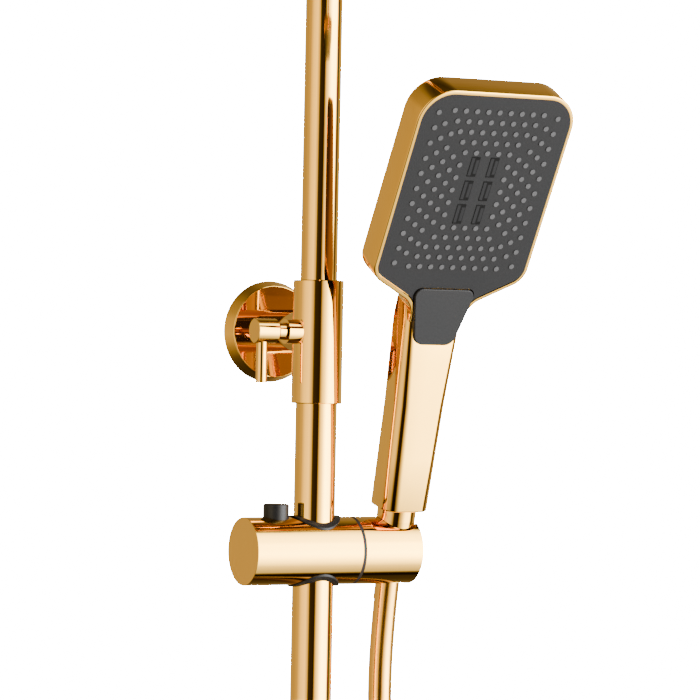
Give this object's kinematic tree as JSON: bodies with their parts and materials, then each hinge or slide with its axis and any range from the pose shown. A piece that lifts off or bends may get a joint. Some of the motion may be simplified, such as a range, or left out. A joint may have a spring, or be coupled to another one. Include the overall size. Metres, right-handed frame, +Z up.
{
  "type": "shower column",
  "caption": "Wall-mounted rainfall shower column: telescopic riser, square overhead spray, sliding tilting holder with handset, hanging hose and foot diverter.",
  "frame": {"origin": "on the wall at the middle of the upper bracket's wall plate", "axes": "+Z up along the riser, +Y into the wall, +X to the right seen from the room"},
  "size_m": [0.2365, 0.53, 1.478],
  "materials": {
    "polished_gold": "mirror-polished warm gold coating",
    "gold_plated_plastic": "mirror-bright warm gold plating on moulded plastic",
    "gold_hose": "smooth metallic gold film on a flexible hose",
    "black_face": "satin black moulded plastic",
    "black_trim": "smooth black plastic",
    "seam_grey": "matt dark brown-grey washer",
    "nozzle_rubber": "soft grey silicone",
    "seal_rubber": "black sealing rubber",
    "bare_steel": "plain stainless steel",
    "bare_brass": "machined brass, uncoated",
    "bearing_plastic": "natural white bearing plastic"
  },
  "bodies": {
    "column": {"wall_plate": "bare_steel", "wall_rosette": "polished_gold", "bracket_body": "polished_gold", "arm_grub_screw": "bare_steel", "guide_bush": "bearing_plastic", "lower_tube": "polished_gold", "tube_nut": "polished_gold", "diverter_body": "polished_gold", "inlet_rosette": "polished_gold", "diverter_cartridge": "bare_brass", "hose_lower_nut": "polished_gold", "hose_lower_washer": "seal_rubber", "hose": "gold_hose"},
    "telescope": {"seal_carrier": "bare_brass", "telescope_seals": "seal_rubber"},
    "overhead_arm": {"upper_tube": "polished_gold", "arm_collar": "polished_gold", "ball_stem": "bare_brass"},
    "ball_ring": {"swivel_ring": "bearing_plastic"},
    "rain_head": {"rain_head_shell": "polished_gold", "rain_head_plate": "black_face", "rain_head_gasket": "seal_rubber", "rain_head_nozzles": "nozzle_rubber", "ball_cap_nut": "polished_gold"},
    "lock_handle": {"lock_knob": "polished_gold", "lock_lever": "polished_gold"},
    "clamp": {"clamp_pad": "bearing_plastic"},
    "slider": {"slider_body": "polished_gold", "slider_end_cap": "polished_gold", "guide_bush_upper": "black_trim", "guide_bush_lower": "black_trim", "button_spring": "bare_steel", "brake_spring": "bare_steel", "tilt_washer": "seam_grey", "tilt_bolt": "bare_steel", "tilt_spring_washer": "bare_steel"},
    "release": {"release_button": "black_trim"},
    "brake": {"brake_plunger": "bearing_plastic"},
    "holder": {"holder_head": "polished_gold", "friction_plate": "bearing_plastic"},
    "hose_nut": {"hose_upper_nut": "polished_gold", "hose_upper_washer": "seal_rubber"},
    "handset": {"handset_body": "gold_plated_plastic", "handset_inlet": "bare_brass", "waterway_tube": "bearing_plastic", "spray_face": "black_face", "spray_gasket": "seal_rubber", "spray_nozzles": "nozzle_rubber", "mode_button_spring": "bare_steel"},
    "mode": {"mode_button": "black_face"},
    "diverter_handle": {"diverter_knob": "polished_gold", "diverter_lever": "polished_gold", "diverter_spindle": "bare_brass"}
  },
  "joints": [
    {"name": "telescope_slide", "type": "slide", "parent": "column", "child": "telescope", "axis": [0, 0, 1], "range_m": [0, 0.3]},
    {"name": "arm_swivel", "type": "hinge", "parent": "telescope", "child": "overhead_arm", "pos_m": [0, -0.062, 0], "axis": [0, 0, 1], "range_deg": [-75, 75]},
    {"name": "rain_head_pitch", "type": "hinge", "parent": "overhead_arm", "child": "ball_ring", "pos_m": [0, -0.412, 0.228], "axis": [1, 0, 0], "range_deg": [-12, 12]},
    {"name": "rain_head_roll", "type": "hinge", "parent": "ball_ring", "child": "rain_head", "pos_m": [0, -0.412, 0.228], "axis": [0, 1, 0], "range_deg": [-10, 10]},
    {"name": "lock_turn", "type": "hinge", "parent": "column", "child": "lock_handle", "pos_m": [0, -0.062, 0], "axis": [1, 0, 0], "range_deg": [-180, 0]},
    {"name": "clamp_release", "type": "slide", "parent": "column", "child": "clamp", "axis": [-1, 0, 0], "range_m": [0, 0.0005]},
    {"name": "slider_travel", "type": "slide", "parent": "column", "child": "slider", "axis": [0, 0, 1], "range_m": [-0.5, 0.05], "deforming": ["hose"]},
    {"name": "release_press", "type": "slide", "parent": "slider", "child": "release", "axis": [0, 0, -1], "range_m": [0, 0.003], "stiffness_N_per_m": 500, "springref_m": -0.002, "deforming": ["button_spring"]},
    {"name": "brake_release", "type": "slide", "parent": "slider", "child": "brake", "axis": [-1, 0, 0], "range_m": [0, 0.0008], "deforming": ["brake_spring"]},
    {"name": "holder_tilt", "type": "hinge", "parent": "slider", "child": "holder", "pos_m": [0.025, -0.062, -0.1264], "axis": [1, 0, 0], "range_deg": [-3, 30], "deforming": ["hose"]},
    {"name": "handset_lift", "type": "slide", "parent": "holder", "child": "hose_nut", "axis": [0, -0.225, 0.9744], "range_m": [0, 0.037], "deforming": ["hose"]},
    {"name": "handset_turn", "type": "hinge", "parent": "hose_nut", "child": "handset", "pos_m": [0.0515, -0.062, -0.1264], "axis": [0, -0.225, 0.9744], "range_deg": [-25, 25]},
    {"name": "mode_press", "type": "slide", "parent": "handset", "child": "mode", "axis": [0, 0.9135, 0.4069], "range_m": [0, 0.0015], "stiffness_N_per_m": 600, "springref_m": -0.001, "deforming": ["mode_button_spring"]},
    {"name": "diverter_turn", "type": "hinge", "parent": "column", "child": "diverter_handle", "pos_m": [0, -0.062, -0.75], "axis": [0, 1, 0], "range_deg": [-90, 90]}
  ],
  "couplings": [
    {"joint": "clamp_release", "follows": "lock_turn", "m_per_rad": -0.000159},
    {"joint": "brake_release", "follows": "release_press", "ratio": 0.2666}
  ]
}
